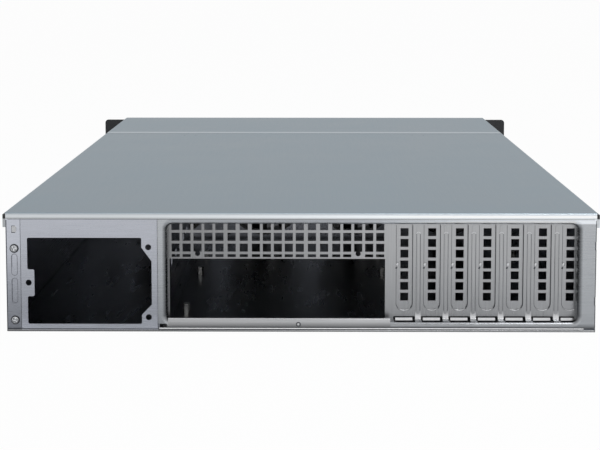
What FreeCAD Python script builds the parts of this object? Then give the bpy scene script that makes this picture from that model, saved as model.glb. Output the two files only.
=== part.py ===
import FreeCAD, Part
import Sketcher
import math
import os

# A two-unit rackmount server case, empty of electronics: a folded steel base with
# a recessed rear window, a power supply bay, seven vented expansion slot covers,
# a wall of four fans, a drive cage behind a vented front and a two-piece cover.
# Local frame: +X to the right seen from the rear, +Y towards the front, +Z up.
# Every sketch is drawn from the rear face (y = 0), the centre plane (x = 0) and
# the underside (z = 0); each body's Placement then centres the case on its origin.

document = FreeCAD.newDocument("RackServerCase")
table = document.addObject("Spreadsheet::Sheet", "Sizes")

sizes = [
    # overall
    ("case_width", 430.0),
    ("case_height", 88.0),
    ("case_depth", 660.0),
    ("rack_width", 482.6),
    ("steel", 1.0),
    ("flat_gap", 0.3),
    # base
    ("rim_width", 8.0),
    ("rear_lip", 2.8),
    ("side_strip", 10.5),
    ("strip_center", 6.1),
    ("hook_hole_width", 3.6),
    ("hook_hole_low", 73.0),
    ("hook_hole_high", 78.3),
    ("emboss_width", 4.2),
    ("emboss_depth", 0.4),
    ("upper_emboss_low", 46.7),
    ("upper_emboss_high", 57.6),
    ("lower_emboss_low", 21.2),
    ("lower_emboss_high", 39.4),
    ("strip_screw_high", 61.5),
    ("strip_screw_low", 8.5),
    ("rail_hole_radius", 2.2),
    ("rail_hole_height", 44.0),
    ("rail_hole_start", 60.0),
    ("rail_hole_pitch", 260.0),
    # recessed window of the rear frame
    ("recess", 10.0),
    ("bend", 3.9),
    ("corner", 4.4),
    ("window_left", 97.8),
    ("window_right", 202.0),
    ("window_low", 7.45),
    ("window_high", 79.2),
    ("frame_left", 104.3),
    ("frame_low", 3.2),
    ("frame_top_gap", 2.5),
    ("foot_notch_high", 5.7),
    ("edge_notch_depth", 1.2),
    ("edge_notch_high", 61.0),
    ("edge_notch_low", 20.0),
    ("edge_notch_length", 6.0),
    # recessed panel
    ("panel_lap_left", 2.6),
    ("panel_lap_right", 6.0),
    ("panel_foot", 9.0),
    ("io_left", 96.6),
    ("io_right", 62.0),
    ("io_low", 7.6),
    ("io_high", 52.05),
    ("vent_hole", 6.0),
    ("vent_left", 95.1),
    ("vent_pitch", 8.07),
    ("vent_wide_pitch", 8.93),
    ("vent_low", 57.3),
    ("vent_row_pitch", 8.05),
    ("vent_slit_low", 53.3),
    ("vent_slit_height", 2.1),
    ("board_hole_radius", 1.9),
    ("board_hole_height", 55.9),
    # expansion slots
    ("slot_first", 76.2),
    ("slot_pitch", 20.32),
    ("slot_width", 12.1),
    ("slot_low", 13.7),
    ("slot_corner", 4.0),
    ("slot_top_strip", 2.0),
    ("slot_nick_width", 1.0),
    ("slot_nick_height", 4.0),
    ("slot_nick_low", 45.0),
    ("bead_width", 2.6),
    ("bead_height", 0.5),
    ("bead_low", 11.0),
    ("bead_high", 77.0),
    ("tongue_gate_width", 15.4),
    ("tongue_gate_high", 8.65),
    ("tongue_gate_low", 5.4),
    ("tongue_gate_start", 1.6),
    ("cover_plate_width", 18.4),
    ("cover_plate_sheet", 0.9),
    ("cover_shoulder", 11.0),
    ("cover_foot_width", 14.0),
    ("cover_foot", 7.0),
    ("cover_hole", 5.9),
    ("cover_hole_low", 20.7),
    ("cover_hole_pitch", 8.03),
    ("slot_screw_offset", 5.4),
    # power supply bay
    ("psu_panel_left", 204.2),
    ("psu_panel_right", 104.6),
    ("psu_left", 199.5),
    ("psu_right", 116.1),
    ("psu_low", 5.6),
    ("psu_high", 69.4),
    ("psu_corner", 1.2),
    ("psu_bulge", 7.3),
    ("psu_bulge_top", 62.2),
    ("psu_bulge_top_in", 52.2),
    ("psu_bulge_low_in", 20.0),
    ("psu_bulge_low", 12.4),
    ("psu_tab", 5.0),
    ("psu_tab_low", 26.1),
    ("psu_tab_high", 46.0),
    ("psu_hole_radius", 2.2),
    ("psu_hole_right", 111.1),
    ("psu_hole_high", 62.5),
    ("psu_hole_low", 10.6),
    ("psu_hole_left", 198.7),
    ("psu_hole_middle", 36.2),
    ("bay_wall_length", 250.0),
    ("bay_wall_height", 74.0),
    ("bay_wall_foot", 6.0),
    ("bay_vent_start", 40.0),
    ("bay_vent_length", 22.0),
    ("bay_vent_pitch", 33.0),
    ("bay_vent_low", 30.0),
    ("bay_vent_high", 36.0),
    # mainboard stand-offs
    ("standoff_height", 6.5),
    ("standoff_across", 5.0),
    ("standoff_bore", 1.25),
    ("board_rear_edge", 22.0),
    ("board_column_left", 88.5),
    ("board_column_pitch", 157.48),
    ("board_column_far", 281.94),
    ("board_row_corner", 33.02),
    ("board_row_first", 10.16),
    ("board_row_second", 165.1),
    ("board_row_third", 237.49),
    # fan wall and fans
    ("fan_wall_depth", 352.0),
    ("fan_wall_height", 84.0),
    ("fan_wall_flange", 12.0),
    ("fan_first", -128.0),
    ("fan_pitch", 90.0),
    ("fan_size", 80.0),
    ("fan_height_center", 42.0),
    ("fan_length", 38.0),
    ("fan_corner", 4.5),
    ("fan_bore", 38.0),
    ("fan_hole_pitch", 71.5),
    ("fan_hole_radius", 2.2),
    ("stator_radius", 17.0),
    ("stator_thick", 4.0),
    ("strut_width", 3.6),
    ("hub_radius", 18.5),
    ("hub_length", 27.0),
    ("hub_gap", 0.5),
    ("shaft_radius", 1.5),
    ("shaft_clearance", 0.05),
    ("shaft_length", 3.2),
    ("blade_tip", 36.0),
    ("blade_root_chord", 20.0),
    ("blade_tip_chord", 13.0),
    ("blade_root_swing", 6.5),
    ("blade_tip_swing", 9.0),
    ("blade_thick", 1.4),
    ("cable_hole_width", 22.0),
    ("cable_hole_height", 34.0),
    # drive cage
    ("cage_start", 398.0),
    ("cage_length", 246.0),
    ("cage_height", 84.0),
    ("cage_half_width", 212.0),
    ("cage_shelf_height", 42.5),
    # front
    ("front_vent_width", 6.0),
    ("front_vent_height", 26.0),
    ("front_vent_pitch", 12.0),
    ("front_vent_low", 9.0),
    ("front_vent_row_pitch", 34.0),
    ("front_vent_start", -184.0),
    ("front_flange", 9.0),
    ("button_height", 74.0),
    ("power_center", 196.0),
    ("reset_center", 181.0),
    ("power_radius", 5.0),
    ("reset_radius", 3.0),
    ("button_proud", 2.4),
    ("button_rear", 6.0),
    ("button_gap", 0.25),
    ("button_collar", 1.4),
    ("button_collar_thick", 1.2),
    # covers
    ("cover_side_gap", 0.3),
    ("cover_top_gap", 0.5),
    ("cover_flange_height", 11.0),
    ("cover_lip", 4.5),
    ("cover_round", 1.6),
    ("hem_width", 1.0),
    ("hem_height", 6.3),
    ("cover_screw_height", 80.5),
    ("cover_screw_start", 520.0),
    ("cover_screw_pitch", 60.0),
    ("front_cover_length", 166.0),
    ("seam_gap", 0.8),
    ("catch_center", 122.6),
    ("catch_width", 12.0),
    ("catch_length", 26.0),
    ("catch_lap", 14.0),
    ("relief_radius", 0.8),
    ("rear_notch", 9.0),
    # ears and handles
    ("ear_sheet", 3.0),
    ("ear_low", 0.0),
    ("ear_high", 85.4),
    ("ear_corner", 3.6),
    ("ear_flange_length", 34.0),
    ("ear_flange_low", 5.0),
    ("ear_flange_high", 73.0),
    ("ear_flange_sheet", 2.0),
    ("ear_screw_depth", 642.0),
    ("ear_screw_low", 18.0),
    ("ear_screw_pitch", 40.0),
    ("rack_hole_spacing", 465.1),
    ("rack_hole_pitch", 44.45),
    ("rack_hole_low", 21.8),
    ("rack_slot_radius", 3.3),
    ("rack_slot_length", 10.4),
    ("handle_center", 222.5),
    ("handle_width", 9.0),
    ("handle_reach", 36.0),
    ("handle_span", 58.0),
    ("handle_bend", 11.0),
    # screws
    ("screw_head", 2.9),
    ("screw_head_height", 1.6),
    ("screw_shank", 1.5),
    ("screw_length", 4.0),
    ("screw_cross", 0.8),
    ("screw_cross_reach", 1.9),
    ("screw_cross_depth", 0.8),
]
for row, (alias, number) in enumerate(sizes, start=1):
    table.set("A%d" % row, alias.replace("_", " "))
    table.set("B%d" % row, repr(number))
    table.setAlias("B%d" % row, alias)
document.recompute()


class Size:
    """A length that keeps its formula on the size table beside its value."""

    def __init__(self, formula, number):
        self.formula = formula
        self.number = number

    def joined(self, other, sign, number):
        text = other.formula if isinstance(other, Size) else repr(other)
        return Size("(%s %s %s)" % (self.formula, sign, text), number)

    def __add__(self, other):
        return self.joined(other, "+", self.number + numberOf(other))

    def __radd__(self, other):
        return Size(repr(other), other) + self

    def __sub__(self, other):
        return self.joined(other, "-", self.number - numberOf(other))

    def __rsub__(self, other):
        return Size(repr(other), other) - self

    def __mul__(self, other):
        return self.joined(other, "*", self.number * numberOf(other))

    def __rmul__(self, other):
        return Size(repr(other), other) * self

    def __truediv__(self, other):
        return self.joined(other, "/", self.number / numberOf(other))

    def __neg__(self):
        return Size("(-1 * %s)" % self.formula, -self.number)


def numberOf(length):
    return length.number if isinstance(length, Size) else float(length)


class SizeTable:
    pass


case = SizeTable()
for alias, number in sizes:
    setattr(case, alias, Size("Sizes.%s" % alias, number))

# ---------------------------------------------------------------- helpers
# A sketch plane's role and the side its normal points to along the global axis.
planes = {"XY": ("XY_Plane", 1), "XZ": ("XZ_Plane", -1), "YZ": ("YZ_Plane", 1)}
kept = []


def newBody(label, x=0.0, y=None, z=0.0):
    """One sub-part, placed from the case's own rear face, centre plane and underside."""
    body = document.addObject("PartDesign::Body", "Body_" + label)
    body.Label = label
    body.AllowCompound = True
    rear = -(case.case_depth + case.ear_sheet + case.handle_reach - case.screw_head_height) / 2
    spot = {"x": x, "y": rear if y is None else rear + y, "z": z}
    for axis, length in spot.items():
        if isinstance(length, Size):
            body.setExpression("Placement.Base." + axis, length.formula)
    kept.append(body)
    return body


def originFeature(body, role):
    return [item for item in body.Origin.OriginFeatures if item.Role == role][0]


def newSketch(body, plane, start=0.0):
    role, side = planes[plane]
    drawing = body.newObject("Sketcher::SketchObject", "Sketch")
    drawing.AttachmentSupport = [(originFeature(body, role), "")]
    drawing.MapMode = "FlatFace"
    if isinstance(start, Size):
        drawing.AttachmentOffset = FreeCAD.Placement(
            FreeCAD.Vector(0, 0, side * start.number), FreeCAD.Rotation())
        drawing.setExpression("AttachmentOffset.Base.z", (start * side).formula)
    elif start:
        drawing.AttachmentOffset = FreeCAD.Placement(
            FreeCAD.Vector(0, 0, side * start), FreeCAD.Rotation())
    return drawing


def bind(drawing, kind, *where):
    """One dimension of a sketch, tied to its formula when it has one."""
    length = where[-1]
    number = numberOf(length)
    index = drawing.addConstraint(Sketcher.Constraint(kind, *where[:-1], number))
    if isinstance(length, Size):
        drawing.setExpression("Constraints[%d]" % index, length.formula)


def pin(drawing, line, end, point):
    bind(drawing, "DistanceX", line, end, point[0])
    bind(drawing, "DistanceY", line, end, point[1])


def at(point):
    return FreeCAD.Vector(numberOf(point[0]), numberOf(point[1]), 0)


def sign(value):
    return (value > 1e-9) - (value < -1e-9)


def addArc(drawing, first, middle, last):
    """An arc through three points; returns it with the ends that meet first and last."""
    turn = (middle - first).cross(last - middle).z
    start, end = (first, last) if turn > 0 else (last, first)
    arc = drawing.addGeometry(Part.Arc(start, middle, end))
    return (arc, 1, 2) if turn > 0 else (arc, 2, 1)


def outline(drawing, corners, closed=True):
    """An outline; a corner given a third value, its radius, joins square sides."""
    count = len(corners)
    arrive = []
    leave = []
    for index, corner in enumerate(corners):
        if len(corner) < 3:
            arrive.append(corner)
            leave.append(corner)
            continue
        before = corners[index - 1]
        after = corners[(index + 1) % count]
        radius = corner[2]
        ends = []
        for other in (before, after):
            dx = sign(numberOf(other[0]) - numberOf(corner[0]))
            dy = sign(numberOf(other[1]) - numberOf(corner[1]))
            ends.append((corner[0] + radius * dx if dx else corner[0],
                         corner[1] + radius * dy if dy else corner[1]))
        arrive.append(ends[0])
        leave.append(ends[1])
    lines = []
    for index in range(count if closed else count - 1):
        start = leave[index]
        end = arrive[(index + 1) % count]
        line = drawing.addGeometry(Part.LineSegment(at(start), at(end)))
        pin(drawing, line, 1, start)
        pin(drawing, line, 2, end)
        lines.append(line)
    for index, corner in enumerate(corners):
        if len(corner) < 3:
            continue
        start = at(arrive[index])
        end = at(leave[index])
        tip = at(corner)
        radius = numberOf(corner[2])
        center = start + end - tip
        middle = center + (tip - center).normalize() * radius
        arc, first, last = addArc(drawing, start, middle, end)
        drawing.addConstraint(Sketcher.Constraint("Coincident", arc, first, lines[index - 1], 2))
        drawing.addConstraint(Sketcher.Constraint("Coincident", arc, last, lines[index], 1))
        bind(drawing, "Radius", arc, corner[2])


def rectangle(drawing, left, low, right, high, radius=None):
    rounding = () if radius is None else (radius,)
    outline(drawing, [(left, low) + rounding, (right, low) + rounding,
                      (right, high) + rounding, (left, high) + rounding])


def circle(drawing, x, y, radius):
    ring = drawing.addGeometry(
        Part.Circle(at((x, y)), FreeCAD.Vector(0, 0, 1), numberOf(radius)))
    pin(drawing, ring, 3, (x, y))
    bind(drawing, "Radius", ring, radius)


def slot(drawing, start, end, radius):
    """A slot with round ends between two centres in line with an axis."""
    flat = abs(numberOf(end[0]) - numberOf(start[0])) > abs(numberOf(end[1]) - numberOf(start[1]))
    aside = (0.0, radius) if flat else (radius, 0.0)
    sides = []
    for way in (1, -1):
        ends = [(spot[0] + aside[0] * way, spot[1] + aside[1] * way) for spot in (start, end)]
        line = drawing.addGeometry(Part.LineSegment(at(ends[0]), at(ends[1])))
        pin(drawing, line, 1, ends[0])
        pin(drawing, line, 2, ends[1])
        sides.append((line, ends))
    for index, spot in enumerate((start, end)):
        other = (end, start)[index]
        away = (at(spot) - at(other)).normalize() * numberOf(radius)
        first = at(sides[0][1][index])
        last = at(sides[1][1][index])
        arc, one, two = addArc(drawing, first, at(spot) + away, last)
        drawing.addConstraint(Sketcher.Constraint("Coincident", arc, one, sides[0][0], index + 1))
        drawing.addConstraint(Sketcher.Constraint("Coincident", arc, two, sides[1][0], index + 1))
        bind(drawing, "DistanceX" if flat else "DistanceY", arc, 3, spot[0] if flat else spot[1])


def setLength(feature, name, length):
    if isinstance(length, Size):
        setattr(feature, name, length.number)
        feature.setExpression(name, length.formula)
    else:
        setattr(feature, name, length)


def grow(body, drawing, length):
    """Adds the drawing to the body, from its plane along the positive axis."""
    feature = body.newObject("PartDesign::Pad", "Pad")
    feature.Profile = drawing
    setLength(feature, "Length", length)
    feature.Reversed = drawing.AttachmentSupport[0][0].Role == "XZ_Plane"
    drawing.Visibility = False
    return feature


def cut(body, drawing, length):
    """Removes the drawing from the body, from its plane along the positive axis."""
    feature = body.newObject("PartDesign::Pocket", "Pocket")
    feature.Profile = drawing
    setLength(feature, "Length", length)
    feature.Reversed = drawing.AttachmentSupport[0][0].Role != "XZ_Plane"
    drawing.Visibility = False
    return feature


def repeat(body, features, axis, pitch, copies):
    """A row of copies of some features along one axis."""
    pattern = body.newObject("PartDesign::LinearPattern", "Pattern")
    pattern.Originals = features
    pattern.Direction = (originFeature(body, axis + "_Axis"), [""])
    pattern.Mode = "Spacing"
    setLength(pattern, "Offset", pitch)
    pattern.Occurrences = copies
    body.Tip = pattern


# Shared heights and edges, each made from the sizes once.
half = case.case_width / 2
cover_under = case.case_height - case.steel
base_high = cover_under - case.cover_top_gap
frame_top = case.case_height - case.frame_top_gap
panel_front = case.recess + case.steel
side_inner = half - case.steel
cover_flange = panel_front - case.bend - case.flat_gap

# ---------------------------------------------------------------- base
# Floor, side walls with their top rims, the rear lip and the left rear strip are
# one folded sheet.
base = newBody("chassis_base")
drawing = newSketch(base, "XY")
rectangle(drawing, -half, 0.0, half, case.case_depth)
grow(base, drawing, case.steel)
for side, start in ((-1, 0.0), (1, case.steel)):
    outer = half * side
    inner = side_inner * side
    rim = (side_inner - case.rim_width) * side
    drawing = newSketch(base, "XZ", start)
    outline(drawing, [(outer, 0.0), (outer, base_high), (rim, base_high),
                      (rim, base_high - case.steel), (inner, base_high - case.steel),
                      (inner, 0.0)])
    grow(base, drawing, case.case_depth - start)
drawing = newSketch(base, "XZ")
rectangle(drawing, -case.psu_panel_right, 0.0, half, case.rear_lip)
grow(base, drawing, case.steel)
strip_edge = -(half - case.side_strip)
strip_center = -(half - case.strip_center)
drawing = newSketch(base, "XZ")
rectangle(drawing, -half, 0.0, strip_edge, base_high)
grow(base, drawing, case.steel)
# Hook hole, screw holes and the two pressed-in slots of the strip.
drawing = newSketch(base, "XZ")
hook = case.hook_hole_width / 2
outline(drawing, [(strip_center - hook, case.hook_hole_low),
                  (strip_center + hook, case.hook_hole_low, hook * 0.9),
                  (strip_center + hook, case.hook_hole_high, hook * 0.9),
                  (strip_center - hook, case.hook_hole_high)])
for height in (case.strip_screw_high, case.strip_screw_low):
    circle(drawing, strip_center, height, case.screw_shank + case.button_gap)
cut(base, drawing, case.steel)
drawing = newSketch(base, "XZ")
emboss = case.emboss_width / 2
for low, high in ((case.upper_emboss_low, case.upper_emboss_high),
                  (case.lower_emboss_low, case.lower_emboss_high)):
    slot(drawing, (strip_center, low + emboss), (strip_center, high - emboss), emboss)
cut(base, drawing, case.emboss_depth)
# Screw holes of the front cover and the ears, through both side walls.
clear_hole = case.screw_shank + case.button_gap
drawing = newSketch(base, "YZ", -half)
circle(drawing, case.cover_screw_start, case.cover_screw_height, clear_hole)
cover_holes = cut(base, drawing, case.case_width)
repeat(base, [cover_holes], "Y", case.cover_screw_pitch, 3)
drawing = newSketch(base, "YZ", -half)
circle(drawing, case.ear_screw_depth, case.ear_screw_low, clear_hole)
ear_holes = cut(base, drawing, case.case_width)
repeat(base, [ear_holes], "Z", case.ear_screw_pitch, 2)
# Rail holes through both side walls.
drawing = newSketch(base, "YZ", -half)
circle(drawing, case.rail_hole_start, case.rail_hole_height, case.rail_hole_radius)
rail_holes = cut(base, drawing, case.case_width)
repeat(base, [rail_holes], "Y", case.rail_hole_pitch, 3)

# ---------------------------------------------------------------- rear frame
# The window's edge is drawn forward in a round bend on all four sides.
frame = newBody("rear_frame")
window_left = -case.window_left
window_right = case.window_right
bend_corner = case.corner + case.bend
drawing = newSketch(frame, "XZ")
rectangle(drawing, -case.frame_left, case.frame_low, half, frame_top)
rectangle(drawing, window_left - case.bend, case.window_low - case.bend,
          window_right + case.bend, case.window_high + case.bend, bend_corner)
grow(frame, drawing, case.steel)
path = newSketch(frame, "XZ")
rectangle(path, window_left, case.window_low, window_right, case.window_high, case.corner)
middle_height = (case.window_low + case.window_high) / 2
profile = newSketch(frame, "XY", middle_height)
inner_bend = case.bend - case.steel
bend_edge = window_left - case.bend
wall = window_left - case.steel
lines = []
for start, end in (((wall, case.bend), (wall, case.recess)),
                   ((wall, case.recess), (window_left, case.recess)),
                   ((window_left, case.recess), (window_left, case.bend)),
                   ((bend_edge, 0.0), (bend_edge, case.steel))):
    line = profile.addGeometry(Part.LineSegment(at(start), at(end)))
    pin(profile, line, 1, start)
    pin(profile, line, 2, end)
    lines.append(line)
quarter = math.sqrt(0.5)
for radius, low_line, low_end, high_line, high_end in (
        (case.bend, lines[3], 1, lines[2], 2), (inner_bend, lines[3], 2, lines[0], 1)):
    reach = numberOf(radius)
    hub = FreeCAD.Vector(bend_edge.number, case.bend.number, 0)
    arc, first, last = addArc(
        profile, hub + FreeCAD.Vector(0, -reach, 0),
        hub + FreeCAD.Vector(reach * quarter, -reach * quarter, 0),
        hub + FreeCAD.Vector(reach, 0, 0))
    profile.addConstraint(Sketcher.Constraint("Coincident", arc, first, low_line, low_end))
    profile.addConstraint(Sketcher.Constraint("Coincident", arc, last, high_line, high_end))
    bind(profile, "Radius", arc, radius)
pipe = frame.newObject("PartDesign::AdditivePipe", "Bend")
pipe.Profile = profile
pipe.Spine = (path, ["Edge%d" % number for number in range(1, 9)])
document.recompute()
# The tongue gates continue through the frame's lower edge.
gate = case.tongue_gate_width / 2
drawing = newSketch(frame, "XZ", case.tongue_gate_start)
rectangle(drawing, case.slot_first - gate, case.tongue_gate_low,
          case.slot_first + gate, case.tongue_gate_high)
gates = cut(frame, drawing, case.recess)
repeat(frame, [gates], "X", case.slot_pitch, 7)
# Holes for the slot covers' screws in the frame's upper wall.
flange_middle = panel_front - cover_flange / 2
drawing = newSketch(frame, "XY", case.window_high)
circle(drawing, case.slot_first + case.slot_screw_offset, flange_middle, clear_hole)
screw_holes = cut(frame, drawing, case.steel)
repeat(frame, [screw_holes], "X", case.slot_pitch, 7)
# Notches: the foot of the left post and two on the right post's outer edge.
drawing = newSketch(frame, "XZ")
rectangle(drawing, -case.frame_left, case.frame_low, window_left, case.foot_notch_high)
for low in (case.edge_notch_high, case.edge_notch_low):
    rectangle(drawing, half - case.edge_notch_depth, low, half, low + case.edge_notch_length)
cut(frame, drawing, case.steel)

# ---------------------------------------------------------------- recessed panel
# One sheet behind the frame: interface opening, vent grid, slot openings with
# pressed beads between them, and the gates behind which the slot covers' feet stand.
panel = newBody("recessed_panel")
panel_left = window_left - case.steel - case.panel_lap_left
panel_right = window_right + case.steel + case.panel_lap_right
panel_high = case.window_high + case.steel
drawing = newSketch(panel, "XZ", case.recess)
rectangle(drawing, panel_left, case.steel, panel_right, panel_high)
rectangle(drawing, -case.io_left, case.io_low, case.io_right, case.io_high)
grow(panel, drawing, case.steel)
drawing = newSketch(panel, "XY", case.steel)
rectangle(drawing, panel_left, panel_front, panel_right, panel_front + case.panel_foot)
grow(panel, drawing, case.steel)
# The vent grid's columns stand in blocks of five with two wider gaps between.
columns = [-case.vent_left]
for column in range(1, 19):
    wide = column % 7 in (5, 6, 0)
    columns.append(columns[-1] + (case.vent_wide_pitch if wide else case.vent_pitch))
screw_columns = (2, 16)
vents = []
for block in range(0, 19, 5):
    drawing = newSketch(panel, "XZ", case.recess)
    for left in columns[block:block + 5]:
        rectangle(drawing, left, case.vent_low,
                  left + case.vent_hole, case.vent_low + case.vent_hole)
    vents.append(cut(panel, drawing, case.steel))
repeat(panel, vents, "Z", case.vent_row_pitch, 3)
for block in range(0, 19, 5):
    drawing = newSketch(panel, "XZ", case.recess)
    for column, left in enumerate(columns[block:block + 5], start=block):
        if column in screw_columns:
            circle(drawing, left + case.vent_hole / 2, case.board_hole_height,
                   case.board_hole_radius)
        else:
            rectangle(drawing, left, case.vent_slit_low,
                      left + case.vent_hole, case.vent_slit_low + case.vent_slit_height)
    cut(panel, drawing, case.steel)
# Slot openings, each with a small nick in its left edge, tongue gates and beads.
drawing = newSketch(panel, "XZ", case.recess)
side = case.slot_width / 2
outline(drawing, [(case.slot_first - side, case.slot_low, case.slot_corner),
                  (case.slot_first + side, case.slot_low, case.slot_corner),
                  (case.slot_first + side, panel_high - case.slot_top_strip),
                  (case.slot_first - side, panel_high - case.slot_top_strip)])
slots = cut(panel, drawing, case.steel)
drawing = newSketch(panel, "XZ", case.recess)
rectangle(drawing, case.slot_first - gate, case.tongue_gate_low,
          case.slot_first + gate, case.tongue_gate_high)
gates = cut(panel, drawing, case.steel)
drawing = newSketch(panel, "XZ", case.recess)
rectangle(drawing, case.slot_first - side, case.slot_nick_low,
          case.slot_first - side + case.slot_nick_width,
          case.slot_nick_low + case.slot_nick_height)
nicks = grow(panel, drawing, case.steel)
repeat(panel, [slots, gates, nicks], "X", case.slot_pitch, 7)
drawing = newSketch(panel, "XZ", case.recess - case.bead_height)
bead = case.bead_width / 2
bead_center = case.slot_first + case.slot_pitch / 2
slot(drawing, (bead_center, case.bead_low + bead), (bead_center, case.bead_high - bead), bead)
beads = grow(panel, drawing, case.bead_height)
repeat(panel, [beads], "X", case.slot_pitch, 6)

# ---------------------------------------------------------------- slot covers
# Each cover lies on the panel's inner side; its top flange folds back over the
# frame's upper wall, and its foot shows in the upper half of the gate.
for number in range(7):
    label = "slot_cover_%d" % (number + 1)
    center = case.slot_first + case.slot_pitch * number
    blank = newBody(label, x=center, y=panel_front)
    plate = case.cover_plate_width / 2
    foot = case.cover_foot_width / 2
    flange_high = panel_high + case.cover_plate_sheet
    drawing = newSketch(blank, "XZ")
    outline(drawing, [(-foot, case.cover_foot), (foot, case.cover_foot),
                      (foot, case.cover_shoulder), (plate, case.cover_shoulder),
                      (plate, flange_high), (-plate, flange_high),
                      (-plate, case.cover_shoulder), (-foot, case.cover_shoulder)])
    grow(blank, drawing, case.cover_plate_sheet)
    drawing = newSketch(blank, "XY", panel_high)
    rectangle(drawing, -plate, -cover_flange, plate, 0.0)
    circle(drawing, case.slot_screw_offset, -cover_flange / 2,
           case.screw_shank + case.button_gap)
    grow(blank, drawing, case.cover_plate_sheet)
    drawing = newSketch(blank, "XZ")
    hole = case.cover_hole / 2
    rectangle(drawing, -hole, case.cover_hole_low, hole, case.cover_hole_low + case.cover_hole)
    holes = cut(blank, drawing, case.cover_plate_sheet)
    repeat(blank, [holes], "Z", case.cover_hole_pitch, 7)

# ---------------------------------------------------------------- power supply bay
psu_panel = newBody("psu_panel")
drawing = newSketch(psu_panel, "XZ")
rectangle(drawing, -case.psu_panel_left, case.steel, -case.psu_panel_right, frame_top)
outline(drawing, [(-case.psu_left, case.psu_low, case.psu_corner),
                  (-case.psu_right, case.psu_low, case.psu_corner),
                  (-case.psu_right, case.psu_bulge_low),
                  (-case.psu_right + case.psu_bulge, case.psu_bulge_low_in),
                  (-case.psu_right + case.psu_bulge, case.psu_bulge_top_in),
                  (-case.psu_right, case.psu_bulge_top),
                  (-case.psu_right, case.psu_high, case.psu_corner),
                  (-case.psu_left, case.psu_high, case.psu_corner),
                  (-case.psu_left, case.psu_tab_high, case.psu_corner),
                  (-case.psu_left + case.psu_tab, case.psu_tab_high, case.psu_corner),
                  (-case.psu_left + case.psu_tab, case.psu_tab_low, case.psu_corner),
                  (-case.psu_left, case.psu_tab_low, case.psu_corner)])
for x, height in ((-case.psu_hole_right, case.psu_hole_high),
                  (-case.psu_hole_right, case.psu_hole_low),
                  (-case.psu_hole_left, case.psu_hole_middle)):
    circle(drawing, x, height, case.psu_hole_radius)
grow(psu_panel, drawing, case.steel)

bay_wall = newBody("psu_bay_wall")
wall_right = -case.frame_left + case.steel
drawing = newSketch(bay_wall, "YZ", -case.frame_left)
rectangle(drawing, case.steel, case.steel, case.bay_wall_length, case.bay_wall_height)
grow(bay_wall, drawing, case.steel)
drawing = newSketch(bay_wall, "XY", case.steel)
rectangle(drawing, wall_right, panel_front + case.panel_foot + case.flat_gap,
          wall_right + case.bay_wall_foot, case.bay_wall_length)
grow(bay_wall, drawing, case.steel)
drawing = newSketch(bay_wall, "YZ", -case.frame_left)
rectangle(drawing, case.bay_vent_start, case.bay_vent_low,
          case.bay_vent_start + case.bay_vent_length, case.bay_vent_high)
bay_vents = cut(bay_wall, drawing, case.steel)
repeat(bay_wall, [bay_vents], "Y", case.bay_vent_pitch, 6)

# ---------------------------------------------------------------- stand-offs
# Hexagonal posts under the mainboard's nine mounting points.
standoffs = newBody("board_standoffs", y=case.board_rear_edge, z=case.steel)
board_columns = [-case.board_column_left, -case.board_column_left + case.board_column_pitch,
                 -case.board_column_left + case.board_column_far]
board_rows = [case.board_row_first, case.board_row_second, case.board_row_third]
across = case.standoff_across / math.sqrt(3)
for row_index, row in enumerate(board_rows):
    for column_index, column in enumerate(board_columns):
        depth = case.board_row_corner if row_index + column_index == 0 else row
        drawing = newSketch(standoffs, "XY")
        outline(drawing, [(column + across * math.cos(math.radians(60 * turn)),
                           depth + across * math.sin(math.radians(60 * turn)))
                          for turn in range(6)])
        circle(drawing, column, depth, case.standoff_bore)
        grow(standoffs, drawing, case.standoff_height)

# ---------------------------------------------------------------- fan wall
fan_wall = newBody("fan_wall", y=case.fan_wall_depth)
wall_edge = side_inner - case.flat_gap
drawing = newSketch(fan_wall, "XZ")
rectangle(drawing, -wall_edge, case.steel, wall_edge, case.fan_wall_height)
for way in (-1, 1):
    near_edge = (wall_edge - case.fan_wall_flange) * way
    far_edge = near_edge - case.cable_hole_width * way
    low = case.fan_height_center - case.cable_hole_height / 2
    high = case.fan_height_center + case.cable_hole_height / 2
    if way < 0:
        rectangle(drawing, near_edge, low, far_edge, high)
    else:
        rectangle(drawing, far_edge, low, near_edge, high)
grow(fan_wall, drawing, case.steel)
drawing = newSketch(fan_wall, "XZ")
circle(drawing, case.fan_first, case.fan_height_center, case.fan_bore)
for way in (-1, 1):
    circle(drawing, case.fan_first + case.fan_hole_pitch / 2 * way,
           case.fan_height_center + case.fan_hole_pitch / 2 * way, case.fan_hole_radius)
fan_holes = cut(fan_wall, drawing, case.steel)
repeat(fan_wall, [fan_holes], "X", case.fan_pitch, 4)
drawing = newSketch(fan_wall, "XY", case.fan_wall_height - case.steel)
rectangle(drawing, -wall_edge, case.steel, wall_edge, case.steel + case.fan_wall_flange)
grow(fan_wall, drawing, case.steel)
for way in (-1, 1):
    drawing = newSketch(fan_wall, "YZ", wall_edge - case.steel if way > 0 else -wall_edge)
    rectangle(drawing, case.steel, case.steel, case.steel + case.fan_wall_flange,
              case.fan_wall_height - case.steel)
    grow(fan_wall, drawing, case.steel)

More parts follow.
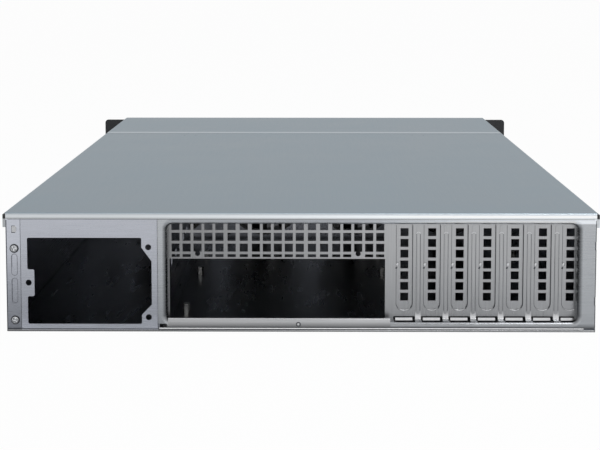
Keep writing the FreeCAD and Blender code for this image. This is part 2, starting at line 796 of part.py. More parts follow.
# ---------------------------------------------------------------- fans
# The frame's struts carry a bearing; the rotor's shaft turns in it.
for number in range(4):
    x = case.fan_first + case.fan_pitch * number
    depth = case.fan_wall_depth + case.steel
    housing = newBody("fan_frame_%d" % (number + 1), x=x, y=depth, z=case.fan_height_center)
    side = case.fan_size / 2
    drawing = newSketch(housing, "XZ")
    rectangle(drawing, -side, -side, side, side, case.fan_corner)
    circle(drawing, 0.0, 0.0, case.fan_bore)
    for way in (-1, 1):
        circle(drawing, case.fan_hole_pitch / 2 * way, case.fan_hole_pitch / 2 * way,
               case.fan_hole_radius)
    grow(housing, drawing, case.fan_length)
    drawing = newSketch(housing, "XZ")
    strut = case.strut_width / 2
    reach = case.fan_bore + 0.5
    rectangle(drawing, -reach, -strut, reach, strut)
    grow(housing, drawing, case.stator_thick)
    drawing = newSketch(housing, "XZ")
    rectangle(drawing, -strut, -reach, strut, reach)
    grow(housing, drawing, case.stator_thick)
    drawing = newSketch(housing, "XZ")
    circle(drawing, 0.0, 0.0, case.stator_radius)
    grow(housing, drawing, case.stator_thick)
    drawing = newSketch(housing, "XZ")
    circle(drawing, 0.0, 0.0, case.shaft_radius + case.shaft_clearance)
    cut(housing, drawing, case.stator_thick)

    rotor = newBody("fan_rotor_%d" % (number + 1), x=x, y=depth, z=case.fan_height_center)
    hub_start = case.stator_thick + case.hub_gap
    drawing = newSketch(rotor, "XZ", hub_start)
    circle(drawing, 0.0, 0.0, case.hub_radius)
    grow(rotor, drawing, case.hub_length)
    drawing = newSketch(rotor, "XZ", hub_start - case.shaft_length)
    circle(drawing, 0.0, 0.0, case.shaft_radius)
    grow(rotor, drawing, case.shaft_length)
    sections = []
    blade_middle = hub_start + case.hub_length / 2
    for radius, chord, swing in (
            (case.hub_radius - 1.0, case.blade_root_chord, case.blade_root_swing),
            (case.blade_tip, case.blade_tip_chord, case.blade_tip_swing)):
        drawing = newSketch(rotor, "YZ", radius)
        back = blade_middle - chord / 2
        front = blade_middle + chord / 2
        outline(drawing, [(back, -swing), (back + case.blade_thick, -swing),
                          (front, swing), (front - case.blade_thick, swing)])
        sections.append(drawing)
    blade = rotor.newObject("PartDesign::AdditiveLoft", "Blade")
    blade.Profile = sections[0]
    blade.Sections = [sections[1]]
    blade.Ruled = True
    blades = rotor.newObject("PartDesign::PolarPattern", "Blades")
    blades.Originals = [blade]
    blades.Axis = (originFeature(rotor, "Y_Axis"), [""])
    blades.Angle = 360
    blades.Occurrences = 7
    rotor.Tip = blades

# ---------------------------------------------------------------- drive cage
# Two side walls and two dividers carry one shelf; open at both ends.
cage = newBody("drive_cage", y=case.cage_start)
cage_half = case.cage_half_width
cage_walls = [-cage_half, -cage_half / 2, 0.0, cage_half / 2, cage_half - case.steel]
drawing = newSketch(cage, "XY", case.steel)
rectangle(drawing, -cage_half, 0.0, cage_half, case.cage_length)
grow(cage, drawing, case.steel)
for left in cage_walls:
    drawing = newSketch(cage, "YZ", left)
    rectangle(drawing, 0.0, case.steel, case.cage_length, case.cage_height)
    grow(cage, drawing, case.steel)
drawing = newSketch(cage, "XY", case.cage_shelf_height)
rectangle(drawing, -cage_half, 0.0, cage_half, case.cage_length)
grow(cage, drawing, case.steel)

# ---------------------------------------------------------------- front
front = newBody("front_panel")
front_start = case.case_depth - case.steel
front_high = base_high - case.steel - case.flat_gap
drawing = newSketch(front, "XZ", front_start)
rectangle(drawing, -wall_edge, case.steel, wall_edge, front_high)
circle(drawing, case.power_center, case.button_height, case.power_radius + case.button_gap)
circle(drawing, case.reset_center, case.button_height, case.reset_radius + case.button_gap)
grow(front, drawing, case.steel)
for way in (-1, 1):
    drawing = newSketch(front, "YZ", wall_edge - case.steel if way > 0 else -wall_edge)
    rectangle(drawing, front_start - case.front_flange, case.steel, front_start, front_high)
    grow(front, drawing, case.steel)
drawing = newSketch(front, "XZ", front_start)
for low in (case.front_vent_low, case.front_vent_low + case.front_vent_row_pitch):
    rectangle(drawing, case.front_vent_start, low,
              case.front_vent_start + case.front_vent_width, low + case.front_vent_height)
front_vents = cut(front, drawing, case.steel)
repeat(front, [front_vents], "X", case.front_vent_pitch, 30)

# Push buttons: a collar behind the panel keeps each one in its hole.
for label, center, radius in (("power_button", case.power_center, case.power_radius),
                              ("reset_button", case.reset_center, case.reset_radius)):
    button = newBody(label, x=center, y=case.case_depth, z=case.button_height)
    drawing = newSketch(button, "XZ", -case.button_rear)
    circle(drawing, 0.0, 0.0, radius)
    grow(button, drawing, case.button_rear + case.button_proud)
    drawing = newSketch(button, "XZ", -case.steel - case.button_collar_thick)
    circle(drawing, 0.0, 0.0, radius + case.button_collar)
    grow(button, drawing, case.button_collar_thick)

# ---------------------------------------------------------------- covers
# Both covers wrap the base's sides; the rear one has the rounded rear lip and the
# two catches that slide under the front one.
cover_inner = half + case.cover_side_gap
cover_outer = cover_inner + case.steel
flange_low = case.case_height - case.cover_flange_height
seam = case.case_depth - case.front_cover_length
cover_rear = -case.flat_gap - case.steel
inner_round = case.cover_round - case.steel


def coverShell(body, start, length):
    drawing = newSketch(body, "XZ", start)
    outline(drawing, [(-cover_outer, flange_low),
                      (-cover_outer, case.case_height, case.cover_round),
                      (cover_outer, case.case_height, case.cover_round),
                      (cover_outer, flange_low), (cover_inner, flange_low),
                      (cover_inner, cover_under, inner_round),
                      (-cover_inner, cover_under, inner_round),
                      (-cover_inner, flange_low)])
    grow(body, drawing, length)
    drawing = newSketch(body, "XZ", start)
    hem_outer = cover_outer + case.hem_width
    rectangle(drawing, -hem_outer, flange_low, -cover_outer, flange_low + case.hem_height)
    rectangle(drawing, cover_outer, flange_low, hem_outer, flange_low + case.hem_height)
    grow(body, drawing, length)


front_cover = newBody("front_cover")
coverShell(front_cover, seam, case.front_cover_length)
drawing = newSketch(front_cover, "YZ", -cover_outer - case.hem_width)
circle(drawing, case.cover_screw_start, case.cover_screw_height, clear_hole)
cover_holes = cut(front_cover, drawing, (cover_outer + case.hem_width) * 2)
repeat(front_cover, [cover_holes], "Y", case.cover_screw_pitch, 3)

rear_cover = newBody("rear_cover")
lip_front = cover_rear + case.cover_round * 1.5
lip_low = case.case_height - case.cover_lip
coverShell(rear_cover, lip_front, seam - case.seam_gap - lip_front)
lip_half = cover_outer - case.cover_round
drawing = newSketch(rear_cover, "YZ", -lip_half)
outline(drawing, [(cover_rear, lip_low), (cover_rear + case.steel, lip_low),
                  (cover_rear + case.steel, cover_under), (lip_front, cover_under),
                  (lip_front, case.case_height),
                  (cover_rear, case.case_height, case.cover_round)])
grow(rear_cover, drawing, lip_half * 2)
# The side walls start behind a notch at each rear corner, above their hems.
drawing = newSketch(rear_cover, "YZ", -cover_outer)
rectangle(drawing, lip_front, flange_low + case.hem_height,
          lip_front + case.rear_notch, case.case_height - case.cover_round)
cut(rear_cover, drawing, cover_outer * 2)
catch = case.catch_width / 2
catch_rear = seam - case.seam_gap - case.catch_lap
drawing = newSketch(rear_cover, "XY", cover_under - case.steel)
for way in (-1, 1):
    middle = case.catch_center * way
    rectangle(drawing, middle - catch, catch_rear, middle + catch, catch_rear + case.catch_length)
grow(rear_cover, drawing, case.steel)
drawing = newSketch(rear_cover, "XY", cover_under - case.steel)
for way in (-1, 1):
    for hand in (-1, 1):
        circle(drawing, case.catch_center * way + catch * hand, catch_rear, case.relief_radius)
cut(rear_cover, drawing, case.steel * 2)

# ---------------------------------------------------------------- ears and handles
for label, way in (("left", -1), ("right", 1)):
    ear = newBody("ear_bracket_" + label)
    ear_half = case.rack_width / 2
    inside = half
    drawing = newSketch(ear, "XZ", case.case_depth)
    low = case.ear_low
    high = case.ear_high
    if way < 0:
        outline(drawing, [(-ear_half, low, case.ear_corner), (-inside, low), (-inside, high),
                          (-ear_half, high, case.ear_corner)])
    else:
        outline(drawing, [(inside, low), (ear_half, low, case.ear_corner),
                          (ear_half, high, case.ear_corner), (inside, high)])
    hole_center = case.rack_hole_spacing / 2 * way
    stretch = case.rack_slot_length / 2 - case.rack_slot_radius
    for height in (case.rack_hole_low, case.rack_hole_low + case.rack_hole_pitch):
        slot(drawing, (hole_center - stretch, height), (hole_center + stretch, height),
             case.rack_slot_radius)
    grow(ear, drawing, case.ear_sheet)
    flange_face = inside if way > 0 else -inside - case.ear_flange_sheet
    drawing = newSketch(ear, "YZ", flange_face)
    rectangle(drawing, case.case_depth - case.ear_flange_length, case.ear_flange_low,
              case.case_depth, case.ear_flange_high)
    grow(ear, drawing, case.ear_flange_sheet)
    drawing = newSketch(ear, "YZ", flange_face)
    circle(drawing, case.ear_screw_depth, case.ear_screw_low, clear_hole)
    ear_holes = cut(ear, drawing, case.ear_flange_sheet)
    repeat(ear, [ear_holes], "Z", case.ear_screw_pitch, 2)

    handle = newBody("handle_" + label)
    handle_x = case.handle_center * way
    ear_front = case.case_depth + case.ear_sheet
    middle = (case.ear_low + case.ear_high) / 2
    low = middle - case.handle_span / 2
    high = middle + case.handle_span / 2
    grip = case.handle_width / 2
    reach = ear_front + case.handle_reach - grip
    path = newSketch(handle, "YZ", handle_x)
    outline(path, [(ear_front, low), (reach, low, case.handle_bend),
                   (reach, high, case.handle_bend), (ear_front, high)], closed=False)
    profile = newSketch(handle, "XZ", ear_front)
    rectangle(profile, handle_x - grip, low - grip, handle_x + grip, low + grip)
    pipe = handle.newObject("PartDesign::AdditivePipe", "Grip")
    pipe.Profile = profile
    pipe.Spine = (path, ["Edge%d" % number for number in range(1, 6)])

# ---------------------------------------------------------------- screws
# Pan-head screws with cross recesses, one node for each set that is alike.


def screwSet(label, plane, seat, places, shank, inward):
    """Screws standing on a plane; their shanks run inward (+1 or -1 along the axis)."""
    body = newBody(label)
    head_start = seat - case.screw_head_height if inward > 0 else seat
    drawing = newSketch(body, plane, head_start)
    for place in places:
        circle(drawing, place[0], place[1], case.screw_head)
    grow(body, drawing, case.screw_head_height)
    drawing = newSketch(body, plane, seat if inward > 0 else seat - shank)
    for place in places:
        circle(drawing, place[0], place[1], case.screw_shank)
    grow(body, drawing, shank)
    depth = case.screw_cross_depth
    outside = head_start if inward > 0 else seat + case.screw_head_height - depth
    arm = case.screw_cross_reach
    thin = case.screw_cross / 2
    for x, y in places:
        drawing = newSketch(body, plane, outside)
        outline(drawing, [(x - thin, y - arm), (x + thin, y - arm), (x + thin, y - thin),
                          (x + arm, y - thin), (x + arm, y + thin), (x + thin, y + thin),
                          (x + thin, y + arm), (x - thin, y + arm), (x - thin, y + thin),
                          (x - arm, y + thin), (x - arm, y - thin), (x - thin, y - thin)])
        cut(body, drawing, depth)


screwSet("rear_screws", "XZ", 0.0,
         [(strip_center, case.strip_screw_high), (strip_center, case.strip_screw_low)],
         case.screw_length, 1)
screwSet("slot_cover_screws", "XY", panel_high + case.cover_plate_sheet,
         [(case.slot_first + case.slot_pitch * number + case.slot_screw_offset, flange_middle)
          for number in range(7)],
         case.cover_plate_sheet + case.steel - 0.2, -1)
for label, way in (("left", -1), ("right", 1)):
    screwSet("front_cover_screws_" + label, "YZ", (cover_outer + case.hem_width) * way,
             [(case.cover_screw_start + case.cover_screw_pitch * number,
               case.cover_screw_height) for number in range(3)],
             case.screw_length, -way)
    screwSet("ear_screws_" + label, "YZ", (half + case.ear_flange_sheet) * way,
             [(case.ear_screw_depth, case.ear_screw_low + case.ear_screw_pitch * number)
              for number in range(2)],
             case.screw_length, -way)

# ---------------------------------------------------------------- check and write
document.recompute()
faults = [item.Label for item in document.Objects
          if "Invalid" in item.State or "Error" in item.State]
faults += [body.Label for body in kept if body.Shape.isNull() or not body.Shape.isValid()]
if faults:
    raise RuntimeError("these did not build: " + ", ".join(sorted(set(faults))))
os.makedirs("parts", exist_ok=True)
for body in kept:
    body.Shape.exportStep("parts/%s.step" % body.Label)
    print(body.Label, len(body.Shape.Solids), round(body.Shape.Volume, 1))
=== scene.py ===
import math
import bmesh
import bpy
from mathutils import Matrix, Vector


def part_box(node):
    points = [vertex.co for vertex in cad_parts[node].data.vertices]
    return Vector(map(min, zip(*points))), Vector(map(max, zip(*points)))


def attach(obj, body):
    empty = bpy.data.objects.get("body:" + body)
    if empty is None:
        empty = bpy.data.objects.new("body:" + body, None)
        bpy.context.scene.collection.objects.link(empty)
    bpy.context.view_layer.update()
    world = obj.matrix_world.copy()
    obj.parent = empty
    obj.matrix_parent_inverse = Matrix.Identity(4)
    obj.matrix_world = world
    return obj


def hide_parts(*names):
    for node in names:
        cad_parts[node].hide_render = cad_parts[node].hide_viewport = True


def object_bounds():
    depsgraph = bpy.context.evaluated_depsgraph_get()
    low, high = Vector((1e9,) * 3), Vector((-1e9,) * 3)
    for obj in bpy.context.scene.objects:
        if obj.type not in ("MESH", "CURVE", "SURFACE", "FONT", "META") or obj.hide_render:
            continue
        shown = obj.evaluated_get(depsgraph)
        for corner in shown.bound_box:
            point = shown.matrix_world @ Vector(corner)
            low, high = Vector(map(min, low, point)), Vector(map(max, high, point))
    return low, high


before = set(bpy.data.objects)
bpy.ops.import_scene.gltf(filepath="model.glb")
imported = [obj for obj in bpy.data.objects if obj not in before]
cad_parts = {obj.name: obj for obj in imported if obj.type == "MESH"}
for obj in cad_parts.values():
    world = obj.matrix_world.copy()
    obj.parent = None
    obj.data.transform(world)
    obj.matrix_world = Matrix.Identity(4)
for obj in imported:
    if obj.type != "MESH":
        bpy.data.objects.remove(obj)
cadBox = [list(corner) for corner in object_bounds()]
bpy.context.scene.view_settings.view_transform = "Standard"
print("frame loaded:", len(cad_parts), "nodes")

mm = 0.001


def toLinear(hexColour):
    parts = [int(hexColour[i:i + 2], 16) / 255 for i in (1, 3, 5)]
    return tuple(p / 12.92 if p <= 0.04045 else ((p + 0.055) / 1.055) ** 2.4
                 for p in parts) + (1.0,)


def addNode(tree, kind, inputs=None, **settings):
    # inputs: socket name or number -> a value, or (node, output) for a link
    node = tree.nodes.new(kind)
    for name, value in settings.items():
        setattr(node, name, value)
    for socket, value in (inputs or {}).items():
        if isinstance(value, tuple) and isinstance(value[0], bpy.types.Node):
            tree.links.new(value[0].outputs[value[1]], node.inputs[socket])
        else:
            node.inputs[socket].default_value = value
    return node


def newMaterial(name):
    material = bpy.data.materials.new(name)
    material.use_nodes = True
    material.node_tree.nodes.clear()
    return material, material.node_tree


def finishMaterial(tree, shader):
    addNode(tree, "ShaderNodeOutputMaterial", {"Surface": (shader, "BSDF")})


def setRamp(ramp, stops):
    while len(ramp.elements) > 1:
        ramp.elements.remove(ramp.elements[-1])
    ramp.elements[0].position, ramp.elements[0].color = stops[0]
    for position, colour in stops[1:]:
        ramp.elements.new(position).color = colour


def shadeColour(tree, colour, shades):
    # each shade multiplies the colour; 0, 6, 7 and 2 are the mix's factor, colours and result
    for shade in shades:
        shaded = addNode(tree, "ShaderNodeMix", {0: 1.0, 6: colour, 7: (shade, 0)},
                         data_type="RGBA", blend_type="MULTIPLY")
        colour = (shaded, 2)
    return colour


# The camera stands behind the case, a little above its cover. It looks down only a little,
# and its lens is shifted down for the rest, so that upright edges stay nearly upright.
cameraSettings = {"place": (6.87, -1324.06, 260.05), "pitch": 4.964, "yaw": 0.434,
                  "lens": 81.533, "filmWidth": 36, "shiftY": -0.22, "farClip": 100}
cameraData = bpy.data.cameras.new("rearCamera")
cameraData.lens = cameraSettings["lens"]
cameraData.sensor_width = cameraSettings["filmWidth"]
cameraData.shift_y = cameraSettings["shiftY"]
cameraData.clip_end = cameraSettings["farClip"]
camera = bpy.data.objects.new("rearCamera", cameraData)
bpy.context.scene.collection.objects.link(camera)
camera.location = [v * mm for v in cameraSettings["place"]]
camera.rotation_euler = (math.radians(90 - cameraSettings["pitch"]), 0,
                         math.radians(cameraSettings["yaw"]))
bpy.context.scene.camera = camera

# Soft boxes, places and sizes in metres: one large overhead, a weak one behind the camera
# and a strip above the rear edge.
lightSettings = {
    "overheadBox": {"place": (0.1, 0.0, 1.8), "aim": (0, 0, 0.05), "size": (1.8, 1.2),
                    "watts": 6},
    "rearBox": {"place": (0.5, -2.2, 1.1), "aim": (0.05, -0.35, 0.05), "size": (1.4, 0.8),
                "watts": 1.5},
    "rimStrip": {"place": (0.42, -0.46, 0.8), "aim": (0.15, -0.349, 0.088), "size": (0.9, 0.1),
                 "watts": 2.5},
}
for name, settings in lightSettings.items():
    data = bpy.data.lights.new(name, "AREA")
    data.shape = "RECTANGLE"
    data.size, data.size_y = settings["size"]
    data.energy = settings["watts"]
    lamp = bpy.data.objects.new(name, data)
    bpy.context.scene.collection.objects.link(lamp)
    lamp.location = settings["place"]
    lamp.visible_camera = False
    aim = Vector(settings["aim"]) - lamp.location
    lamp.rotation_euler = aim.to_track_quat("-Z", "Y").to_euler()

# The room is a weak grey light, and plain white where it is seen or mirrored.
worldSettings = {"ambient": "#bcc0c4", "ambientStrength": 0.5}
world = bpy.data.worlds.new("studioWorld")
bpy.context.scene.world = world
world.use_nodes = True
tree = world.node_tree
tree.nodes.clear()
path = addNode(tree, "ShaderNodeLightPath")
seen = addNode(tree, "ShaderNodeMath", {0: (path, "Is Camera Ray"), 1: (path, "Is Glossy Ray")},
               operation="MAXIMUM")
seenAll = addNode(tree, "ShaderNodeMath", {0: (seen, 0), 1: (path, "Is Transmission Ray")},
                  operation="MAXIMUM")
ambient = addNode(tree, "ShaderNodeBackground",
                  {"Color": toLinear(worldSettings["ambient"]),
                   "Strength": worldSettings["ambientStrength"]})
white = addNode(tree, "ShaderNodeBackground", {"Color": (1, 1, 1, 1), "Strength": 1.0})
mixed = addNode(tree, "ShaderNodeMixShader", {0: (seenAll, 0), 1: (ambient, 0), 2: (white, 0)})
addNode(tree, "ShaderNodeOutputWorld", {"Surface": (mixed, 0)})

# A plain white floor that keeps a faint shadow; its sides and shadowReach are in metres.
floorSettings = {"left": -8, "right": 8, "near": -6, "far": 14,
                 "colour": "#f4f4f4", "plainShare": 0.97, "shadowReach": 0.45}
left, right, near, far = [floorSettings[side] for side in ("left", "right", "near", "far")]
floorMesh = bpy.data.meshes.new("studioFloor")
floorMesh.from_pydata([(left, near, 0), (right, near, 0), (right, far, 0), (left, far, 0)],
                      [], [(0, 1, 2, 3)])
floor = bpy.data.objects.new("studioFloor", floorMesh)
bpy.context.scene.collection.objects.link(floor)
material, tree = newMaterial("studioPaperWhite")
path = addNode(tree, "ShaderNodeLightPath")
seen = addNode(tree, "ShaderNodeMath",
               {0: (path, "Is Camera Ray"), 1: (path, "Is Transmission Ray")},
               operation="MAXIMUM")
plain = addNode(tree, "ShaderNodeMath", {0: (seen, 0), 1: floorSettings["plainShare"]},
                operation="MULTIPLY")
# painted shadow: in the steel's reflections the floor's glow fades towards the case's foot, in
# place of its shade
where = addNode(tree, "ShaderNodeTexCoord")
away = addNode(tree, "ShaderNodeVectorMath", {0: (where, "Object")}, operation="ABSOLUTE")
past = addNode(tree, "ShaderNodeVectorMath",
               {0: (away, 0), 1: (cadBox[1][0], -cadBox[0][1], 0)}, operation="SUBTRACT")
outside = addNode(tree, "ShaderNodeVectorMath", {0: (past, 0), 1: (0, 0, 0)},
                  operation="MAXIMUM")
distance = addNode(tree, "ShaderNodeVectorMath", {0: (outside, 0)}, operation="LENGTH")
unshaded = addNode(tree, "ShaderNodeMapRange",
                   {"Value": (distance, "Value"), "From Max": floorSettings["shadowReach"]},
                   interpolation_type="SMOOTHSTEP")
mirrored = addNode(tree, "ShaderNodeMath", {0: (path, "Is Glossy Ray"), 1: (unshaded, 0)},
                   operation="MULTIPLY")
share = addNode(tree, "ShaderNodeMath", {0: (plain, 0), 1: (mirrored, 0)}, operation="MAXIMUM")
paper = addNode(tree, "ShaderNodeBsdfDiffuse", {"Color": toLinear(floorSettings["colour"])})
glow = addNode(tree, "ShaderNodeEmission", {"Color": (1, 1, 1, 1), "Strength": 1.0})
mixed = addNode(tree, "ShaderNodeMixShader", {0: (share, 0), 1: (paper, 0), 2: (glow, 0)})
addNode(tree, "ShaderNodeOutputMaterial", {"Surface": (mixed, 0)})
floorMesh.materials.append(material)
print("camera, lights and floor set")

# Electro-galvanised sheet, cold rolled: an even blue-grey satin with a faint
# rolling grain, and the cloudy patches that a zinc coat takes in handling.
# light, dark: the coat's tones; edge: a painted highlight, the lighter tone given below the flat
# top and along the lids' seam; grazing: its tone at a shallow angle; rough: lowest and highest
# roughness; grain: streak length in mm along each axis. The rest are shares of brightness that
# paint light and shade.
# bends: painted shade and highlight, shares for the drawn bends that face sideways, up and down;
# rise, foot and run: painted light and shade, shares at two heights, or two places across, in
# mm;
# corner: a painted highlight, a band between two heights, the places across between which it
# brightens, and how much is added there.
sheetSettings = {
    "coverSteel": {"light": "#7b8891", "dark": "#748089", "edge": "#d6dadd",
                   "rough": (0.36, 0.42), "grain": (0.5, 40.0, 5.0), "grazing": "#eceeef",
                   "rise": ((84.0, 0.62), (84.9, 1.0)),
                   "corner": ((87.2, 85.9), (-140, 100), 0.5)},
    "panelSteel": {"light": "#bcbfc8", "dark": "#b0b3bb", "rough": (0.24, 0.32),
                   "grain": (30.0, 5.0, 0.6), "grazing": "#ffffff",
                   "rise": ((3, 1.4), (13, 1.0))},
    "frameSteel": {"light": "#b9bcc0", "dark": "#adb0b4", "rough": (0.24, 0.32),
                   "grain": (30.0, 5.0, 0.6), "grazing": "#ffffff",
                   "bends": (0.42, 0.5, 1.5), "rise": ((3.4, 0.45), (6.4, 1.0)),
                   "corner": ((79.6, 80.4), (20, 150), 0.85)},
    "slotSteel": {"light": "#b3b4b6", "dark": "#a7a8aa", "rough": (0.26, 0.32),
                  "grain": (0.6, 5.0, 30.0), "grazing": "#ffffff",
                  "bends": (0.5, 1.3, 1.0), "run": ((-100, 0.6), (75, 1.0))},
    "slotCoverSteel": {"light": "#b3b4b6", "dark": "#a7a8aa", "rough": (0.26, 0.32),
                       "grain": (0.6, 5.0, 30.0), "grazing": "#ffffff",
                       # painted shadow: below the gate the cover's foot is nearly black
                       "rise": ((8.8, 0.03), (9.3, 1.0))},
    # a darker copy of the sheet steel, with painted shade towards its foot
    "sillSteel": {"light": "#a9aaac", "dark": "#9fa0a2", "rough": (0.26, 0.32),
                  "grain": (30.0, 5.0, 0.6), "grazing": "#ffffff",
                  "rise": ((4.0, 0.6), (8.6, 1.0))},
    # a lighter copy of the sheet steel: painted highlight
    "flaredSteel": {"light": "#bcbdbf", "dark": "#b0b1b3", "rough": (0.26, 0.32),
                    "grain": (0.6, 5.0, 30.0), "grazing": "#ffffff"},
    # a lighter copy of the sheet steel, with painted shade on its slopes
    "beadSteel": {"light": "#bcbdbf", "dark": "#b1b2b4", "rough": (0.26, 0.32),
                  "grain": (0.6, 5.0, 30.0), "grazing": "#ffffff",
                  "bends": (0.3, 0.8, 1.0)},
    "baseSteel": {"light": "#b0b3bb", "dark": "#a2a5ad", "rough": (0.26, 0.32),
                  "grain": (5.0, 40.0, 0.6), "grazing": "#ffffff",
                  # painted shade towards the foot, painted light towards the top
                  "rise": ((5, 0.8), (62, 1.33)), "foot": ((1.4, 0.4), (3.5, 1.0))},
}
# What all the sheets share. clouds: size of the handling clouds; foldDepth, seamReach: how far
# below the top and how near the lids' seam the painted highlight reaches, all in mm; bendSpan:
# how far a bend's face has turned where its painted shade starts and where it is full.
coatSettings = {"clouds": 90, "toneSpan": (0.35, 0.65), "foldDepth": (0.05, 1.9),
                "seamReach": (7, 3), "seamShare": 0.4, "bendSpan": (0.12, 0.6),
                "grainStrength": 0.06, "grainDepth": 0.02}
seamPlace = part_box("rear_cover")[1][1]


def paintedEdgeHighlight(tree, place, tint, edge):
    # painted highlight: below the flat top and along the seam the sheet takes a lighter tone
    foldStart, foldEnd = [cadBox[1][2] - depth * mm for depth in coatSettings["foldDepth"]]
    seamStart, seamEnd = [reach * mm for reach in coatSettings["seamReach"]]
    folded = addNode(tree, "ShaderNodeMapRange",
                     {"Value": (place, "Z"), "From Min": foldStart, "From Max": foldEnd})
    offSeam = addNode(tree, "ShaderNodeMath", {0: (place, "Y"), 1: seamPlace},
                      operation="SUBTRACT")
    fromSeam = addNode(tree, "ShaderNodeMath", {0: (offSeam, 0)}, operation="ABSOLUTE")
    seamed = addNode(tree, "ShaderNodeMapRange",
                     {"Value": (fromSeam, 0), "From Min": seamStart, "From Max": seamEnd,
                      "To Max": coatSettings["seamShare"]})
    highlightShare = addNode(tree, "ShaderNodeMath", {0: (folded, 0), 1: (seamed, 0)},
                          operation="MAXIMUM")
    highlighted = addNode(tree, "ShaderNodeMix",
                     {0: (highlightShare, 0), 6: (tint, "Color"), 7: toLinear(edge)},
                     data_type="RGBA")
    return (highlighted, 2)


def paintedGradientShades(tree, place, settings):
    # painted light and shade: brightness that changes with height, or across the case
    shades = []
    for key, axis in (("rise", "Z"), ("foot", "Z"), ("run", "X")):
        if key in settings:
            (low, lowShare), (high, highShare) = settings[key]
            shades.append(addNode(tree, "ShaderNodeMapRange",
                                  {"Value": (place, axis), "From Min": low * mm,
                                   "From Max": high * mm, "To Min": lowShare,
                                   "To Max": highShare}))
    return shades


def paintedBendShades(tree, bends):
    # painted shade and highlight: drawn bends are darker or lighter than the flat sheet, by the
    # way they face
    facing = addNode(tree, "ShaderNodeNewGeometry")
    turned = addNode(tree, "ShaderNodeSeparateXYZ", {"Vector": (facing, "Normal")})
    sideways = addNode(tree, "ShaderNodeMath", {0: (turned, "X")}, operation="ABSOLUTE")
    start, end = coatSettings["bendSpan"]
    side, up, down = bends
    shades = []
    for value, way, bendShare in (((sideways, 0), 1, side), ((turned, "Z"), 1, up),
                                  ((turned, "Z"), -1, down)):
        shades.append(addNode(tree, "ShaderNodeMapRange",
                              {"Value": value, "From Min": way * start, "From Max": way * end,
                               "To Min": 1.0, "To Max": bendShare}))
    return shades


def paintedBandHighlight(tree, place, corner):
    # painted highlight: a band near the top brightens towards one end
    (bandLow, bandHigh), (runStart, runEnd), highlightGain = corner
    banded = addNode(tree, "ShaderNodeMapRange",
                     {"Value": (place, "Z"), "From Min": bandLow * mm,
                      "From Max": bandHigh * mm, "To Max": highlightGain})
    along = addNode(tree, "ShaderNodeMapRange",
                    {"Value": (place, "X"), "From Min": runStart * mm, "From Max": runEnd * mm})
    return [addNode(tree, "ShaderNodeMath", {0: (banded, 0), 1: (along, 0), 2: 1.0},
                    operation="MULTIPLY_ADD")]


materials = {}
for name, settings in sheetSettings.items():
    material, tree = newMaterial(name)
    where = addNode(tree, "ShaderNodeTexCoord")
    scale = [1 / (length * mm) for length in settings["grain"]]
    stretch = addNode(tree, "ShaderNodeMapping", {"Vector": (where, "Object"), "Scale": scale})
    streaks = addNode(tree, "ShaderNodeTexNoise",
                      {"Vector": (stretch, 0), "Scale": 1.0, "Detail": 3.0})
    clouds = addNode(tree, "ShaderNodeTexNoise",
                     {"Vector": (where, "Object"), "Scale": 1 / (coatSettings["clouds"] * mm),
                      "Detail": 2.0})
    blend = addNode(tree, "ShaderNodeMath", {0: (streaks, "Fac"), 1: (clouds, "Fac")},
                    operation="ADD")
    halfBlend = addNode(tree, "ShaderNodeMath", {0: (blend, 0), 1: 0.5}, operation="MULTIPLY")
    tint = addNode(tree, "ShaderNodeValToRGB", {"Fac": (halfBlend, 0)})
    toneLow, toneHigh = coatSettings["toneSpan"]
    setRamp(tint.color_ramp, [(toneLow, toLinear(settings["dark"])),
                              (toneHigh, toLinear(settings["light"]))])
    colour = (tint, "Color")
    place = addNode(tree, "ShaderNodeSeparateXYZ", {"Vector": (where, "Object")})
    # the lip, side flanges and seam get a painted highlight
    if "edge" in settings:
        colour = paintedEdgeHighlight(tree, place, tint, settings["edge"])
    shades = paintedGradientShades(tree, place, settings)
    if "bends" in settings:
        shades += paintedBendShades(tree, settings["bends"])
    if "corner" in settings:
        shades += paintedBandHighlight(tree, place, settings["corner"])
    colour = shadeColour(tree, colour, shades)
    roughLow, roughHigh = settings["rough"]
    rough = addNode(tree, "ShaderNodeMapRange",
                    {"Value": (halfBlend, 0), "From Min": toneLow, "From Max": toneHigh,
                     "To Min": roughLow, "To Max": roughHigh})
    bump = addNode(tree, "ShaderNodeBump",
                   {"Height": (streaks, "Fac"), "Strength": coatSettings["grainStrength"],
                    "Distance": coatSettings["grainDepth"] * mm})
    shader = addNode(tree, "ShaderNodeBsdfPrincipled",
                     {"Base Color": colour, "Roughness": (rough, 0), "Metallic": 1.0,
                      "Specular Tint": toLinear(settings["grazing"]),
                      "Normal": (bump, "Normal")})
    finishMaterial(tree, shader)
    materials[name] = material

